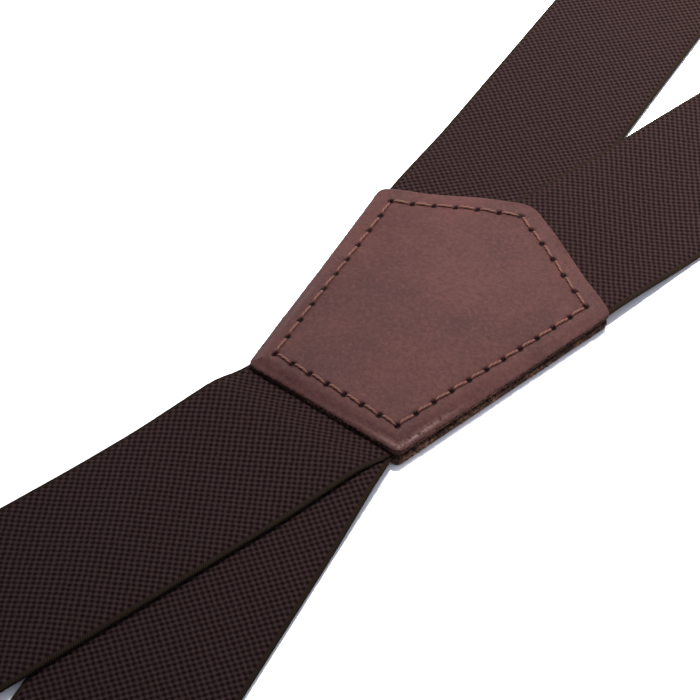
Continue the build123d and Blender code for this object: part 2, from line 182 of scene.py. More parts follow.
class Finish:
    """One material, with its shader and a short way to add nodes."""

    def __init__(self, name, **constants):
        self.material = bpy.data.materials.new(name)
        self.material.use_nodes = True
        self.tree = self.material.node_tree
        self.shader = self.tree.nodes["Principled BSDF"]
        for socket, value in constants.items():
            self.shader.inputs[socket.replace("_", " ")].default_value = value

    def node(self, kind, settings=None, output=0, **sockets):
        """Adds a node, sets its settings first, then its sockets, and returns one output."""
        node = self.tree.nodes.new("ShaderNode" + kind)
        for name, value in (settings or {}).items():
            setattr(node, name, value)
        for name, value in sockets.items():
            feed(node.inputs[name.replace("_", " ")], value)
        return Wire(node.outputs[output])

    def place(self):
        """Object coordinates, in metres."""
        return self.node("TexCoord", output=3)

    def attribute(self, name):
        """A number stored on the mesh's points."""
        return self.node("Attribute", {"attribute_name": name}, output=2)

    def noise(self, scale, detail=3.0, vector=None, roughness=0.55):
        """Noise from 0 to 1, of so many lumps per metre."""
        where = self.place() if vector is None else vector
        return self.node("TexNoise", Vector=where, Scale=scale, Detail=detail, Roughness=roughness)

    def step(self, value, low, high, to_low=0.0, to_high=1.0):
        """A soft step between two values."""
        settings = {"interpolation_type": "SMOOTHSTEP"}
        return self.node(
            "MapRange",
            settings,
            Value=value,
            From_Min=low,
            From_Max=high,
            To_Min=to_low,
            To_Max=to_high,
        )

    def mix(self, factor, first, second):
        """One colour turning into another."""
        node = self.tree.nodes.new("ShaderNodeMix")
        node.data_type = "RGBA"
        feed(node.inputs[0], factor)
        for socket, value in zip((node.inputs[6], node.inputs[7]), (first, second)):
            feed(socket, value if isinstance(value, Wire) else (*value, 1.0))
        return Wire(node.outputs[2])

    def bump(self, height, distance, strength=1.0, below=None):
        """A bump of so many metres, on top of another bump if there is one."""
        sockets = {"Height": height, "Distance": distance, "Strength": strength}
        if below is not None:
            sockets["Normal"] = below
        return self.node("Bump", **sockets)

    def finish(self, **links):
        """Links the shader's sockets and returns the material."""
        for name, value in links.items():
            feed(self.shader.inputs[name.replace("_", " ")], value)
        return self.material


print("shader helpers ready")

# %% [markdown]
# ## The floor's finish
# Plain matt white, with only the slightest unevenness.

# %% Floor finish
paper = Finish("paper", Roughness=0.9, Specular_IOR_Level=0.15)
paper_tone = paper.mix(paper.noise(3.0), (0.93, 0.93, 0.94), (0.96, 0.96, 0.965))
floor.data.materials.append(paper.finish(Base_Color=paper_tone))

# %% [markdown]
# ## Woven elastic
# The strap is a plain weave of thick brown yarn over dark rubber, so it reads as a lattice of dark
# dots between lighter yarn crossings. The product of two cosines, one across the strap and one
# along it, is high and low by turns like the squares of a chessboard, which is just what over and
# under yarns do. It is worked out in cloth coordinates, so the weave goes round each loop and
# follows each strap's own direction. A selvage runs along both edges: tighter, smoother and more
# olive, with a row of small dark needle marks just inside it.

# %% Elastic finish
YARN_ACROSS = 0.775
YARN_ALONG = 0.80
SELVAGE_STARTS = 16.65
SELVAGE_LUMP = 0.5


def elastic_finish():
    """Yarn tones with a painted highlight where the crossing wave is high, dark gaps where it is low, and
    slanting cords on the selvages.
    """
    cloth = Finish("woven_elastic", Roughness=0.85, Specular_IOR_Level=0.03)
    uv = cloth.node("UVMap", {"uv_map": "cloth"})
    across = cloth.node("SeparateXYZ", Vector=uv)
    along = cloth.node("SeparateXYZ", output=1, Vector=uv)
    wander = cloth.noise(0.35, 2.0, uv) - 0.5
    jitter = cloth.noise(1.4, 2.0, uv) - 0.5
    u = across + wander * 0.25 + jitter * 0.12
    v = along + wander * 0.5 + jitter * 0.1
    crossing = (u * (math.pi / YARN_ACROSS)).cos() * (v * (math.pi / YARN_ALONG)).cos()
    crossing = crossing + jitter * 0.9
    dots = cloth.step(crossing, -0.75, 0.34, 1.0, 0.0)
    selvage = cloth.step(across.abs(), SELVAGE_STARTS - 0.15, SELVAGE_STARTS + 0.15)
    marks = cloth.step(across.abs(), SELVAGE_STARTS - 0.8, SELVAGE_STARTS - 0.45)
    marks = marks * (1 - selvage) * cloth.step((v * (math.pi / YARN_ALONG)).cos(), -0.4, 0.5)
    slant = along + across.abs() * 0.6
    cords = cloth.step((slant * (2 * math.pi / SELVAGE_LUMP)).cos() + jitter, -0.9, 0.7)
    knots = cloth.noise(3.0, 2.0, uv) * 0.8 + 0.5
    yarn = cloth.mix(cloth.noise(0.9, 4.0, uv), (0.0110, 0.0054, 0.0053), (0.0207, 0.0113, 0.0109))
    # Where the crossing wave is highest the yarn is painted lighter: a painted highlight on the yarn
    # crests.
    yarn = cloth.mix(cloth.step(crossing, 0.35, 0.95) * 0.4, yarn, (0.0320, 0.0205, 0.0185))
    gap = (0.0031, 0.0009, 0.0010)
    fibre = cloth.step(cloth.noise(7.0, 2.0, uv), 0.62, 0.78)
    yarn = cloth.mix(fibre * 0.25, yarn, (0.046, 0.032, 0.030))
    weave = cloth.mix((dots * 0.95).most(marks * 0.8), yarn, gap)
    edge = cloth.mix(cords * knots, (0.0060, 0.0035, 0.0024), (0.0155, 0.0098, 0.0062))
    colour = cloth.mix(selvage, weave, edge)
    height = (crossing * 0.5 + 0.5) * (1 - selvage) + (cords * 0.3 + 0.3) * selvage
    relief = cloth.bump(height + jitter * 0.3, 0.00025, 0.9)
    return cloth.finish(Base_Color=colour, Normal=relief)


elastic = elastic_finish()
print("elastic finish has", len(elastic.node_tree.nodes), "nodes")

# %% [markdown]
# ## Oiled leather
# The patch is matt, reddish-brown and slightly cloudy, with a fine nap instead of visible pores.
# Three numbers are stored on its mesh: how near a point is to the cut edge, how much pale wear and
# highlight it has, and how deep it lies in a needle hole. The finish reads them, so the raw edge is
# fibrous, a pale line of wear and painted highlight runs beside one corner of the foot, the rim is a
# little paler from wear and painted highlight, and each hole is painted dark as painted shade.

# %% Leather finish
# The pale tone of the rubbed line and rim: partly wear, partly painted highlight on the rounded edge.
SCUFF_AND_HIGHLIGHT_TONE = (0.151, 0.094, 0.083)
# Dark colour of the needle holes: painted shade in the recesses.
HOLE_PAINTED_SHADE = (0.003, 0.001, 0.001)


def shade(colour, share):
    """A colour made lighter or darker by a share."""
    return tuple(share * channel for channel in colour)


def leather_finish(name, light, dark, raw_dark, raw_light):
    """Two cloudy tones with a fine nap, over which the raw edge, the pale wear and painted highlight, and
    the holes' painted shade are laid.
    """
    hide = Finish(name, Roughness=0.6, Specular_IOR_Level=0.07)
    cut, wear_and_highlight, hole = (hide.attribute(n) for n in ("cut_edge", "wear_and_highlight", "needle_hole"))
    cloud = hide.step(hide.noise(75.0, 5.0), 0.3, 0.72)
    nap = hide.noise(1150.0, 5.0, roughness=0.72)
    fine = hide.noise(3800.0, 2.0)
    colour = hide.mix(cloud, dark, light)
    colour = hide.mix(hide.step(nap, 0.48, 0.74) * 0.55, colour, shade(light, 1.5))
    colour = hide.mix(hide.step(nap, 0.52, 0.28) * 0.55, colour, shade(dark, 0.66))
    colour = hide.mix(hide.step(fine, 0.6, 0.8) * 0.3, colour, shade(dark, 0.6))
    # Paler where the mesh stores it: partly wear, partly painted highlight on the rounded edge.
    colour = hide.mix(wear_and_highlight * hide.step(nap, 0.36, 0.56), colour, SCUFF_AND_HIGHLIGHT_TONE)
    fibre = hide.noise(1700.0, 5.0, roughness=0.75)
    frayed = hide.step(hide.noise(110.0, 2.0), 0.4, 0.65)
    bright = hide.mix(frayed, raw_light, shade(raw_light, 2.6))
    raw = hide.mix(hide.step(fibre, 0.42, 0.66), raw_dark, bright)
    colour = hide.mix(cut, colour, raw)
    # The needle holes are painted near-black: painted shade.
    colour = hide.mix(hole, colour, HOLE_PAINTED_SHADE)
    rough = hide.step(cloud, 0.0, 1.0, 0.56, 0.68).most(cut * 0.9)
    soft = hide.bump(nap, 0.00010, 0.6)
    relief = hide.bump(fine * (1 - cut) + fibre * cut * 4.0, 0.00009, 0.8, soft)
    return hide.finish(Base_Color=colour, Roughness=rough, Normal=relief)


front_hide = leather_finish(
    "front_leather",
    light=(0.0522, 0.0212, 0.0192),
    dark=(0.0353, 0.0133, 0.0121),
    raw_dark=(0.009, 0.0035, 0.0028),
    raw_light=(0.050, 0.021, 0.014),
)
rear_hide = leather_finish(
    "rear_leather",
    light=(0.043, 0.020, 0.016),
    dark=(0.027, 0.012, 0.0094),
    raw_dark=(0.009, 0.0045, 0.0035),
    raw_light=(0.078, 0.041, 0.025),
)
print("leather finishes:", front_hide.name, rear_hide.name)

# %% [markdown]
# ## Threads, metal and plastic
# The seam thread is matt and copper-brown, painted lighter on the crest of each ply and darker in
# the grooves between plies: painted highlight and painted shade. The clips are nickel plated: a clean
# metal whose character is mostly in its roughness, which varies with polishing marks and faint
# handling smears. The jaw pads are black moulded plastic with a fine spark finish.

# %% Other finishes


def thread_finish(name, light, dark):
    """Two tones by the twist stored on the mesh, lighter on each ply's crest as a painted highlight and
    darker in the grooves as painted shade, with a little fuzz.
    """
    thread = Finish(name, Roughness=0.6, Specular_IOR_Level=0.12)
    twist = thread.attribute("twist")
    fuzz = thread.noise(4200.0, 3.0)
    # Lighter on the ply crests and darker in the grooves: painted highlight and painted shade.
    colour = thread.mix(thread.step(twist, 0.15, 0.85), dark, light)
    colour = thread.mix(thread.step(fuzz, 0.6, 0.8) * 0.3, colour, shade(light, 1.5))
    return thread.finish(Base_Color=colour, Normal=thread.bump(fuzz, 0.00006, 0.6))


def metal_finish(name, tone, low, high, line_scale):
    """A metal whose roughness runs between low and high. A line_scale below 1 draws out its lines
    along Z."""
    metal = Finish(name, Metallic=1.0)
    where = metal.node("Mapping", Vector=metal.place(), Scale=(1.0, 1.0, line_scale))
    lines = metal.noise(2600.0, 2.0, where)
    smears = metal.noise(60.0, 4.0)
    rough = metal.step(smears * 0.7 + lines * 0.3, 0.3, 0.7, low, high)
    colour = metal.mix(smears, shade(tone, 0.88), tone)
    relief = metal.bump(lines, 0.00001, 0.35)
    return metal.finish(Base_Color=colour, Roughness=rough, Normal=relief)


def plastic_finish():
    """Near-black plastic with the texture of a spark-eroded mould."""
    plastic = Finish("black_plastic", Roughness=0.5)
    spark = plastic.noise(2400.0, 2.0)
    colour = plastic.mix(spark, (0.012, 0.011, 0.011), (0.028, 0.026, 0.026))
    return plastic.finish(Base_Color=colour, Normal=plastic.bump(spark, 0.00003, 0.5))


seam_thread = thread_finish("seam_thread", (0.107, 0.044, 0.032), (0.063, 0.025, 0.019))
hem_thread = thread_finish("hem_thread", (0.022, 0.011, 0.010), (0.007, 0.0035, 0.0035))
nickel = metal_finish("nickel_plate", (0.43, 0.415, 0.395), 0.16, 0.28, 0.2)
steel = metal_finish("pin_steel", (0.36, 0.36, 0.36), 0.25, 0.4, 1.0)
black_plastic = plastic_finish()
print("finishes:", len(bpy.data.materials))

# %% [markdown]
# ## Meshes from grids
# Most pieces are a grid of points that wraps round one way, like a tube, and is closed at its ends.
# The faces of such a grid follow one rule, so they are worked out for all rows at once.

# %% Grid helper


def tube_faces(rows, columns):
    """Quads between neighbouring rows, where the last column joins the first."""
    row, column = np.meshgrid(np.arange(rows - 1), np.arange(columns), indexing="ij")
    after = (column + 1) % columns
    quads = np.stack(
        [
            row * columns + column,
            row * columns + after,
            (row + 1) * columns + after,
            (row + 1) * columns + column,
        ],
        axis=-1,
    )
    return quads.reshape(-1, 4)


def make_piece(name, points_mm, faces, material, attributes=None, uv=None):
    """An object at the origin from points in millimetres, with numbers on its points and a UV map."""
    mesh = bpy.data.meshes.new(name)
    mesh.from_pydata((np.asarray(points_mm) * MM).tolist(), [], [list(f) for f in faces])
    for key, values in (attributes or {}).items():
        layer = mesh.attributes.new(key, "FLOAT", "POINT")
        layer.data.foreach_set("value", np.asarray(values, np.float32).ravel())
    if uv is not None:
        layer = mesh.uv_layers.new(name="cloth")
        corner = np.empty(len(mesh.loops), np.int32)
        mesh.loops.foreach_get("vertex_index", corner)
        layer.data.foreach_set("uv", np.asarray(uv, np.float32)[corner].ravel())
    mesh.materials.append(material)
    mesh.shade_smooth()
    mesh.validate()
    piece = bpy.data.objects.new(name, mesh)
    bpy.context.scene.collection.objects.link(piece)
    return piece


print("grid helper ready")

# %% [markdown]
# ## Where everything lies
# The legs splay from a bend under the middle of the patch. Most of these are the frame's own sizes,
# used again so that the soft pieces meet the metal. The last five say how far the patch's edge is
# pressed together, and how gently a strap or the front leather comes down past what lies below it.

# %% Layout
STRAP_WIDTH = 35.0
STRAP_THICK = 1.5
LEATHER = 1.6
BEND = {"over": (5.6, 0.0), "under": (-6.5, 0.0)}
SPLAY = {"over": (-13.0, -9.7), "under": (11.2, 7.4)}
BACK_LEG = 262.0
FRONT_LEG = 700.0
BACK_HEM = 28.0
BAR_Z = 3.0
LOOP_RADIUS = 2.25
ADJUSTER_BAR = 550.0
FOOT = -30.0
FOOT_HALF = 18.2
SHOULDER_HALF = 29.1
SHOULDER = 28.5
POINT = 43.4
EDGE_SQUEEZE = 0.36
EDGE_CURL = 0.26
LEATHER_RAMP = 30.0
STRAP_RAMP = 20.0
LEATHER_SAG = 15.0


def travel(name, s):
    """Place and heading on a strap's centre line, s millimetres from its bend towards the front.

    The heading goes smoothly from the back leg's to the front leg's within 14 mm of the bend, and
    the place is the bend plus the running sum of the heading's unit vector.
    """
    back_turn, front_turn = np.radians(SPLAY[name])
    fine = np.arange(-BACK_LEG - 10, FRONT_LEG + 10, 0.5)
    share = np.clip(fine / 28 + 0.5, 0, 1)
    turn = back_turn + (front_turn - back_turn) * share * share * (3 - 2 * share)
    step_x, step_y = -np.sin(turn) * 0.5, np.cos(turn) * 0.5
    x, y = np.cumsum(step_x), np.cumsum(step_y)
    x += BEND[name][0] - np.interp(0, fine, x)
    y += BEND[name][1] - np.interp(0, fine, y)
    return np.interp(s, fine, x), np.interp(s, fine, y), np.interp(s, fine, turn)


def soft_step(value, low, high):
    """0 below low, 1 above high, and a smooth rise between."""
    share = np.clip((value - low) / (high - low), 0, 1)
    return share * share * (3 - 2 * share)


def off_centre(name, x, y):
    """Distance of points from a strap's centre line, on whichever leg they are beside."""
    turns = np.radians(SPLAY[name])
    turn = np.where(y < 0, turns[0], turns[1])
    return np.abs((x - BEND[name][0]) * np.cos(turn) + (y - BEND[name][1]) * np.sin(turn))


def outside_sides(x, y):
    """How far points lie outside the patch's two long sides and its foot, negative inside."""
    flare = np.array([SHOULDER_HALF - FOOT_HALF, SHOULDER - FOOT])
    flare /= np.hypot(*flare)
    side = (np.abs(x) - FOOT_HALF) * flare[1] - (y - FOOT) * flare[0]
    return np.maximum(side, FOOT - y)


def outside_patch(x, y):
    """The same for all five sides, with the two that slope up to the point."""
    roof = np.array([SHOULDER_HALF, POINT - SHOULDER])
    roof /= np.hypot(*roof)
    top = np.abs(x) * roof[1] + (y - POINT) * roof[0]
    return np.maximum(outside_sides(x, y), top)


def cover(name, x, y, fall):
    """1 over a strap, falling to 0 within so many millimetres of its edge."""
    return 1 - soft_step(off_centre(name, x, y), STRAP_WIDTH / 2 + 0.3, STRAP_WIDTH / 2 + fall)


def strap_lift(name, x, y):
    """How far the leather, and the other strap, hold a strap off the surface."""
    lift = LEATHER * (1 - soft_step(outside_patch(x, y), 0.6, LEATHER_RAMP))
    if name == "over":
        lift = lift + STRAP_THICK * cover("under", x, y, STRAP_RAMP)
    return lift


def squeeze(x, y):
    """Share of the height above the rear leather that is left where the seam pulls the layers
    together: all of it in the middle of the patch and well outside, and less at its edge."""
    out = outside_sides(x, y)
    near = 1 - soft_step(y, SHOULDER - 6, SHOULDER + 8)
    pull = EDGE_SQUEEZE * soft_step(out, -5.0, -0.4) + EDGE_CURL * soft_step(out, -2.4, 0.1)
    return 1 - near * pull * (1 - soft_step(out, 0.6, 9.0))


print("strap ends:", [np.round(travel(n, FRONT_LEG)[:2], 1).tolist() for n in BEND])

# %% [markdown]
# ## The straps
# Each strap is one long band of 35 mm elastic. It starts at the sewn hem of the back clip, turns
# round the clip's bar, runs up the back, passes through the patch and over the adjuster, turns
# round the front clip's bar, comes back underneath, and ends sewn round the adjuster's bar. Its
# route is known, so it is modelled directly and not simulated: a flat, round-edged section is
# carried along that route, and then lifted wherever leather or the other strap lies below it.

# %% Strap route
ADJUSTER_FLOOR = 2.7
ADJUSTER_RIDE = 4.2
SLOT = ADJUSTER_BAR - 1.5
WRAP_END = ADJUSTER_BAR + 20.0
WRAP_RIDE = 4.15
SELVAGE_THINS = 0.24
STRAP_WAVE = 0.45
WAVE_STRETCH = 34.0


def arc(s, z, radius, first, last, count=16):
    """Points on an arc about (s, z), between two angles in degrees."""
    angle = np.radians(np.linspace(first, last, count))
    return [(s + radius * math.cos(a), z + radius * math.sin(a)) for a in angle]


def strap_route():
    """The centre line's (s, z) points from the back hem to the end of the adjuster's wrap."""
    low = STRAP_THICK / 2
    doubled = 1.5 * STRAP_THICK
    top = BAR_Z + LOOP_RADIUS
    hem = BACK_HEM - BACK_LEG
    route = [(hem, low), (-BACK_LEG, low)]
    route += arc(-BACK_LEG, BAR_Z, LOOP_RADIUS, 270, 90)
    route += [(3 - BACK_LEG, top - 0.1), (13 - BACK_LEG, doubled), (hem + 1, doubled), (hem + 10, low)]
    route += [(-60, low), (60, low), (ADJUSTER_BAR - 43, low)]
    route += [(ADJUSTER_BAR - 22, ADJUSTER_FLOOR + low), (SLOT - 8, ADJUSTER_FLOOR + low)]
    route += [(SLOT - 2, ADJUSTER_RIDE + low), (ADJUSTER_BAR + 5, ADJUSTER_RIDE + low)]
    route += [(ADJUSTER_BAR + 13, WRAP_RIDE), (WRAP_END + 2, WRAP_RIDE), (WRAP_END + 12, doubled)]
    route += [(FRONT_LEG - 13, doubled), (FRONT_LEG - 3, top - 0.1), (FRONT_LEG, top)]
    route += arc(FRONT_LEG, BAR_Z, LOOP_RADIUS, 90, -90)
    route += [(FRONT_LEG, low), (SLOT + 0.7, low)]
    route += arc(SLOT + 0.7, 2.1, 1.4, 270, 90, 12)
    route += [(ADJUSTER_BAR + 3.5, ADJUSTER_FLOOR + low), (ADJUSTER_BAR + 10.5, doubled)]
    route += [(WRAP_END, doubled)]
    return np.array(route)


def even_route(route, blur=0.9, spacing=2.2, turn_step=0.16):
    """The route walked in quarter-millimetre steps, its corners softened by a weighted mean of
    neighbours, and then thinned so that points are close only where it bends."""
    gaps = np.hypot(*np.diff(route, axis=0).T)
    keep = np.concatenate([[True], gaps > 1e-6])
    route = route[keep]
    walked = np.concatenate([[0], np.cumsum(np.hypot(*np.diff(route, axis=0).T))])
    fine = np.arange(0, walked[-1], 0.25)
    line = np.stack([np.interp(fine, walked, route[:, i]) for i in (0, 1)], axis=1)
    reach = int(4 * blur / 0.25)
    weight = np.exp(-0.5 * (np.arange(-reach, reach + 1) * 0.25 / blur) ** 2)
    weight /= weight.sum()
    padded = np.pad(line, ((reach, reach), (0, 0)), mode="reflect", reflect_type="odd")
    line = np.stack([np.convolve(padded[:, i], weight, "valid") for i in (0, 1)], axis=1)
    step = np.diff(line, axis=0)
    turn = np.abs(np.diff(np.unwrap(np.arctan2(step[:, 1], step[:, 0]))))
    effort = np.concatenate([[0], np.hypot(*step.T) / spacing + np.append(turn, 0) / turn_step])
    effort = np.cumsum(effort)
    _, chosen = np.unique(np.floor(effort), return_index=True)
    chosen = np.append(chosen, len(line) - 1)
    length = np.concatenate([[0], np.cumsum(np.hypot(*step.T))])
    return line[chosen], length[chosen]


def strap_section(count=13):
    """The band's section as (across, up) points: flat faces, thinner selvages, rounded edges.

    The half thickness falls by a smooth step over the selvage, times the square root of what is
    left of a power of the distance into the last half millimetre.
    """
    half = STRAP_WIDTH / 2
    inner = np.linspace(-(half - 2.6), half - 2.6, count)
    bend = half - np.array([2.0, 1.4, 0.9, 0.5, 0.28, 0.1])
    across = np.concatenate([-bend[::-1], inner, bend])
    thinned = soft_step(np.abs(across), half - 2.3, half - 0.7)
    rounded = np.clip((np.abs(across) - (half - 0.5)) / 0.5, 0, 1)
    thick = (STRAP_THICK / 2 - SELVAGE_THINS * thinned) * (1 - rounded**2.4) ** 0.5
    top = np.stack([across, thick], axis=1)
    bottom = np.stack([across[::-1], -thick[::-1]], axis=1)
    return np.concatenate([top, [(half, 0.0)], bottom, [(-half, 0.0)]])


# %% [markdown]
# The section is laid square to the route at each of its points. Each strap's own flat length goes
# into its UV map, so that the weave keeps its real size all the way along.

# %% Strap meshes


def make_strap(name, phase):
    """Carries the section along the route, with across level and up square to the route."""
    line, length = even_route(strap_route())
    x, y, turn = travel(name, line[:, 0])
    slope = np.gradient(line, axis=0)
    slope /= np.hypot(*slope.T)[:, None]
    ahead = np.stack([-np.sin(turn), np.cos(turn)], axis=1)
    across = np.stack([np.cos(turn), np.sin(turn)], axis=1)
    section = strap_section()
    a, n = section[:, 0][None, :], section[:, 1][None, :]
    rise, run = slope[:, 1][:, None], slope[:, 0][:, None]
    px = x[:, None] + across[:, :1] * a - ahead[:, :1] * rise * n
    py = y[:, None] + across[:, 1:] * a - ahead[:, 1:] * rise * n
    pz = line[:, 1][:, None] + run * n
    pz = pz + strap_lift(name, px, py)
    pz = np.where(pz > LEATHER, LEATHER + (pz - LEATHER) * squeeze(px, py), pz)
    # Relaxed elastic never lies dead flat: the long free runs rise and fall by under a millimetre.
    free = soft_step(line[:, 0], 130, 200) * (1 - soft_step(line[:, 0], 440, 500))
    free += soft_step(-line[:, 0], 130, 150) * (1 - soft_step(-line[:, 0], 200, 222))
    wave = STRAP_WAVE * (1 - np.cos(line[:, 0] / WAVE_STRETCH + phase)) * free
    on_top = np.arange(len(line)) < np.argmax(length > length[-1] - 200)
    pz = pz + (wave * on_top)[:, None]
    points = np.stack([px, py, pz], axis=-1).reshape(-1, 3)
    columns = section.shape[0]
    faces = tube_faces(len(line), columns).tolist()
    last = (len(line) - 1) * columns
    faces.append(list(range(columns))[::-1])
    faces.append([last + i for i in range(columns)])
    uv = np.stack([np.broadcast_to(a, px.shape), np.broadcast_to(length[:, None], px.shape)], axis=-1)
    piece = make_piece("webbing_" + name, points, faces, elastic, uv=uv.reshape(-1, 2))
    print(piece.name, "route", round(float(length[-1])), "mm,", len(faces), "faces")
    return piece, float(length[-1])


for name, phase in (("over", 0.4), ("under", 2.1)):
    piece, long_mm = make_strap(name, phase)
    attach(piece, "straps")
    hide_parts("strap_" + name)

# %% [markdown]
# ## The leather patch
# Two leathers of one house-shaped outline hold the crossing between them. The front one has taken
# the shape of the straps below: it sags where only one strap lies under it, and its edge curls down
# a little. Its mesh is made of rings that follow the outline, and the seam follows it too, so the
# seam can be pressed in cleanly.

# %% Patch outline
SEAM_MARGIN = 4.1
SEAM_COUNTS = (7, 11, 6, 6, 10)
CORNER_RADII = (1.6, 1.6, 2.2, 8.0, 3.2)
CORNERS = np.array(
    [
        (-FOOT_HALF, FOOT),
        (FOOT_HALF, FOOT),
        (SHOULDER_HALF, SHOULDER),
        (0.0, POINT),
        (-SHOULDER_HALF, SHOULDER),
    ]
)


def corner_frames():
    """For each corner, the inward halving line and the sine of half its angle."""
    before = np.roll(CORNERS, 1, axis=0) - CORNERS
    after = np.roll(CORNERS, -1, axis=0) - CORNERS
    before /= np.linalg.norm(before, axis=1)[:, None]
    after /= np.linalg.norm(after, axis=1)[:, None]
    halving = before + after
    halving /= np.linalg.norm(halving, axis=1)[:, None]
    sine = np.sqrt((1 - (before * after).sum(1)) / 2)
    return halving, sine, before, after


def inset_corners(inset):
    """The outline's sharp corners moved in by a distance."""
    halving, sine, _, _ = corner_frames()
    return CORNERS + halving * (inset / sine)[:, None]


def outline_ring(inset, per_mm=2.2, arc_steps=10):
    """The rounded outline moved in by a distance, always with the same number of points.

    Each corner is an arc that touches its two sides, and each side is split evenly between arcs.
    """
    halving, sine, before, after = corner_frames()
    radius = np.maximum(np.array(CORNER_RADII) - 0.75 * inset, 0.25)
    corner = inset_corners(inset)
    centre = corner + halving * (radius / sine)[:, None]
    reach = (radius * np.sqrt(1 / sine**2 - 1))[:, None]
    first, last = corner + before * reach, corner + after * reach
    ring = []
    share = np.linspace(0, 1, arc_steps)[:, None]
    for i in range(len(CORNERS)):
        a0 = math.atan2(*(first[i] - centre[i])[::-1])
        a1 = math.atan2(*(last[i] - centre[i])[::-1])
        turn = (a1 - a0 + math.pi) % (2 * math.pi) - math.pi
        angle = a0 + turn * share
        ring.append(centre[i] + radius[i] * np.hstack([np.cos(angle), np.sin(angle)]))
        following = first[(i + 1) % len(CORNERS)]
        side = CORNERS[(i + 1) % len(CORNERS)] - CORNERS[i]
        steps = int(np.linalg.norm(side) * per_mm)
        split = np.linspace(0, 1, steps + 2)[1:-1, None]
        ring.append(last[i] + (following - last[i]) * split)
    return np.vstack(ring)


def seam_holes():
    """Needle holes along the seam, and the stitches between them as pairs of ends."""
    corner = inset_corners(SEAM_MARGIN)
    starts, ends = [], []
    for i, count in enumerate(SEAM_COUNTS):
        share = np.linspace(0, 1, count + 1)[:, None]
        holes = corner[i] + (corner[(i + 1) % len(corner)] - corner[i]) * share
        starts.append(holes[:-1])
        ends.append(holes[1:])
    return np.vstack(starts), np.vstack(ends)


hole_starts, hole_ends = seam_holes()
seam_pitch = np.hypot(*(hole_ends - hole_starts).T).mean()
print("seam stitches:", len(hole_starts), "pitch", round(float(seam_pitch), 2))

# %% [markdown]
# Heights on the patch are worked out from plain distances: to the seam's line, to the nearest
# needle hole and to the edge. A bell curve of each distance presses in the channel and the holes.

# %% Patch surface
NO_HOLE = 9.0
AWL_TURN = 76.0
SLIT_STRETCH = 1.3
CHANNEL_SPREAD = 0.8
CHANNEL_DEPTH = 0.16
REAR_CHANNEL_DEPTH = 0.35
HOLE_SPREAD = 0.45
HOLE_DEPTH = 0.8
PILLOW_MIDDLE = 1.9
PILLOW_SPREAD = 1.2
PILLOW_HEIGHT = 0.10


def nearest_hole(points):
    """Distance from each point to the nearest needle hole. The holes are slits that all lean the
    same way, so a distance along the slit counts for less than one across it."""
    gap = points[:, None, :] - hole_starts[None, :, :]
    slit = np.radians(AWL_TURN)
    along = gap[..., 0] * math.cos(slit) + gap[..., 1] * math.sin(slit)
    across = gap[..., 1] * math.cos(slit) - gap[..., 0] * math.sin(slit)
    return np.sqrt((along / SLIT_STRETCH) ** 2 + across**2).min(1)


def seam_distance(points):
    """Distance from each point to the seam's line."""
    best = np.full(len(points), 1e9)
    corner = inset_corners(SEAM_MARGIN)
    for a, b in zip(corner, np.roll(corner, -1, axis=0)):
        share = np.clip(((points - a) @ (b - a)) / ((b - a) @ (b - a)), 0, 1)
        best = np.minimum(best, np.linalg.norm(points - a - share[:, None] * (b - a), axis=1))
    return best


def front_base(x, y):
    """The underside of the front leather: on both straps where they cross, lower where one is
    missing, and drawn down towards the rear leather at the edge."""
    stack = STRAP_THICK * (cover("over", x, y, LEATHER_SAG) + cover("under", x, y, LEATHER_SAG))
    return LEATHER + 0.05 + stack * squeeze(x, y)


def front_top(x, y):
    """The front leather's upper face, before the seam is pressed in."""
    return front_base(x, y) + LEATHER


def front_leather_height(points):
    """The upper face with the seam's channel and holes pressed in, and the leather slightly
    pillowed between seam and edge."""
    top = front_top(points[:, 0], points[:, 1])
    seam = seam_distance(points)
    hole = nearest_hole(points)
    channel = CHANNEL_DEPTH * np.exp(-((seam / CHANNEL_SPREAD) ** 2))
    pit = HOLE_DEPTH * np.exp(-((hole / HOLE_SPREAD) ** 2))
    inside = -outside_patch(points[:, 0], points[:, 1])
    pillow = PILLOW_HEIGHT * np.exp(-(((inside - PILLOW_MIDDLE) / PILLOW_SPREAD) ** 2))
    return top - channel - pit + pillow, hole, inside


# %% [markdown]
# The rings stand closest together at the edge and at the seam, where the leather bends most. The
# front leather has a pale line of wear and painted highlight near one corner of its foot, and the
# rear one a frayed rim.

# %% Patch meshes
EDGE_INSETS = (0.0, 0.06, 0.2, 0.4, 0.7, 1.1, 1.6, 2.1, 2.6, 3.0)
SEAM_INSETS = (3.3, 3.55, 3.8, 4.0, 4.2, 4.4, 4.65, 4.9, 5.3, 5.8, 6.5, 7.5)
INNER_RINGS = 26


def patch_rings():
    """Rings from the edge in to the seam and beyond, then rings that shrink to the middle."""
    rings = np.stack([outline_ring(inset) for inset in EDGE_INSETS + SEAM_INSETS])
    middle = rings[-1].mean(0)
    share = np.linspace(1, 0, INNER_RINGS + 1)[1:-1, None, None]
    inner = middle + (rings[-1] - middle) * share
    return np.vstack([rings, inner]), middle


# The pale line of wear and painted highlight is centred just outside the patch's right side, a
# little above the foot's corner.
SCUFF_AND_HIGHLIGHT_AT = np.array([FOOT_HALF + 2.0, FOOT + 5.0])
SCUFF_AND_HIGHLIGHT_REACH = 8.0


